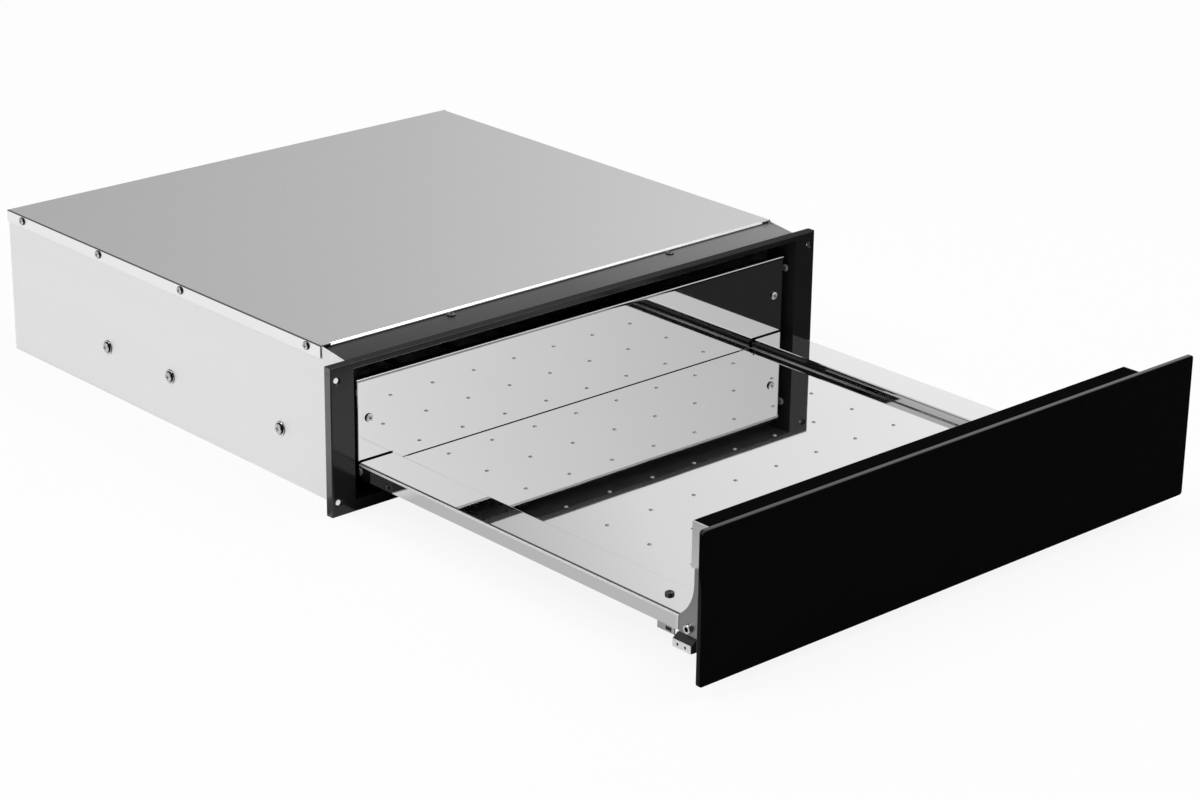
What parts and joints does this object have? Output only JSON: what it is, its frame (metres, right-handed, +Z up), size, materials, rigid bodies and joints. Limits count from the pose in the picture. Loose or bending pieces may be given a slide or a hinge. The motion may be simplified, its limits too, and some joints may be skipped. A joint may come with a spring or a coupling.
{
  "type": "built-in warming drawer",
  "caption": "Built-in warming drawer with a flat glass front, a polished tray on full-extension slides and a sheet metal casing, shown pulled fully open.",
  "frame": {"origin": "middle of the front frame's rear edge at the underside of the casing", "axes": "+X to the right seen from the front, +Y back into the cabinet, +Z up"},
  "size_m": [0.595, 1.023, 0.145],
  "materials": {
    "casing_steel": "satin galvanised sheet",
    "cover_steel": "finely brushed sheet",
    "frame_black": "satin black enamel",
    "bridge_grey": "dark grey coated sheet",
    "tray_steel": "polished stainless sheet",
    "zinc": "zinc plated",
    "screw_steel": "bright zinc plated",
    "bracket_grey": "grey zinc sheet",
    "black_plastic": "fine grained",
    "shell_black": "satin black enamel",
    "glass_black": "black glass, opaque from behind",
    "insulation": "mineral fibre mat",
    "heater_metal": "heat tinted tube",
    "ceramic": "moulded, off-white",
    "lamp_amber": "clear moulded lens",
    "knob_black": "fine grained"
  },
  "bodies": {
    "casing": {"base_pan": "casing_steel", "left_side_panel": "casing_steel", "right_side_panel": "casing_steel", "rear_panel": "casing_steel", "top_cover": "cover_steel", "casing_screws": "screw_steel", "front_frame": "frame_black", "frame_top_bridge": "bridge_grey", "frame_screws": "screw_steel", "left_slide_brackets": "zinc", "right_slide_brackets": "zinc", "slide_bracket_screws": "screw_steel", "left_fixed_rail": "zinc", "right_fixed_rail": "zinc", "insulation_mat": "insulation", "heat_reflector": "heater_metal", "heating_element": "heater_metal", "heater_supports": "zinc", "rear_partition": "casing_steel", "fan_housing": "black_plastic", "fan_screws": "screw_steel", "thermal_cutout": "ceramic", "terminal_block": "ceramic", "cable_gland": "black_plastic", "latch_housing": "black_plastic"},
    "drawer": {"tray": "tray_steel", "tray_rear_wall": "tray_steel", "rear_wall_screws": "screw_steel", "left_wall_bracket": "zinc", "right_wall_bracket": "zinc", "latch_striker": "black_plastic", "tray_screws": "black_plastic", "left_inner_rail": "zinc", "right_inner_rail": "zinc", "rail_end_tabs": "zinc", "tab_buffers": "black_plastic", "door_inner_shell": "shell_black", "left_end_cap": "casing_steel", "right_end_cap": "casing_steel", "door_front_plate": "shell_black", "glass_front": "glass_black", "left_door_bracket": "bracket_grey", "right_door_bracket": "bracket_grey", "door_bracket_bolts": "screw_steel", "front_catches": "black_plastic", "catch_strips": "casing_steel", "heat_regulator": "ceramic", "switch_housing": "black_plastic", "pilot_lamp": "lamp_amber"},
    "left_slide": {"left_middle_rail": "zinc"},
    "right_slide": {"right_middle_rail": "zinc"},
    "left_outer_cage": {"left_outer_ball_cage": "zinc"},
    "right_outer_cage": {"right_outer_ball_cage": "zinc"},
    "left_inner_cage": {"left_inner_ball_cage": "zinc"},
    "right_inner_cage": {"right_inner_ball_cage": "zinc"},
    "knob": {"control_knob": "knob_black", "regulator_shaft": "screw_steel"},
    "rocker": {"switch_rocker": "black_plastic"},
    "fan": {"fan_wheel": "black_plastic"},
    "plunger": {"latch_plunger": "black_plastic"}
  },
  "joints": [
    {"name": "drawer_slide", "type": "slide", "parent": "casing", "child": "drawer", "axis": [0, 1, 0], "range_m": [0, 0.457]},
    {"name": "left_slide_run", "type": "slide", "parent": "casing", "child": "left_slide", "axis": [0, 1, 0], "range_m": [0, 0.2285]},
    {"name": "left_outer_cage_run", "type": "slide", "parent": "casing", "child": "left_outer_cage", "axis": [0, 1, 0], "range_m": [0, 0.11425]},
    {"name": "left_inner_cage_run", "type": "slide", "parent": "casing", "child": "left_inner_cage", "axis": [0, 1, 0], "range_m": [0, 0.34275]},
    {"name": "right_slide_run", "type": "slide", "parent": "casing", "child": "right_slide", "axis": [0, 1, 0], "range_m": [0, 0.2285]},
    {"name": "right_outer_cage_run", "type": "slide", "parent": "casing", "child": "right_outer_cage", "axis": [0, 1, 0], "range_m": [0, 0.11425]},
    {"name": "right_inner_cage_run", "type": "slide", "parent": "casing", "child": "right_inner_cage", "axis": [0, 1, 0], "range_m": [0, 0.34275]},
    {"name": "knob_turn", "type": "hinge", "parent": "drawer", "child": "knob", "pos_m": [0.214, -0.424, 0.075], "axis": [0, 1, 0], "range_deg": [0, 270]},
    {"name": "rocker_tilt", "type": "hinge", "parent": "drawer", "child": "rocker", "pos_m": [0.17, -0.424, 0.075], "axis": [-1, 0, 0], "range_deg": [0, 14]},
    {"name": "fan_spin", "type": "hinge", "parent": "casing", "child": "fan", "pos_m": [-0.13, 0.485, 0.072], "axis": [0, 1, 0], "continuous": true},
    {"name": "plunger_push", "type": "slide", "parent": "casing", "child": "plunger", "axis": [0, 1, 0], "range_m": [0, 0.006], "stiffness_N_per_m": 400}
  ],
  "couplings": [
    {"joint": "left_slide_run", "follows": "drawer_slide", "ratio": 0.5},
    {"joint": "left_outer_cage_run", "follows": "drawer_slide", "ratio": 0.25},
    {"joint": "left_inner_cage_run", "follows": "drawer_slide", "ratio": 0.75},
    {"joint": "right_slide_run", "follows": "drawer_slide", "ratio": 0.5},
    {"joint": "right_outer_cage_run", "follows": "drawer_slide", "ratio": 0.25},
    {"joint": "right_inner_cage_run", "follows": "drawer_slide", "ratio": 0.75}
  ]
}
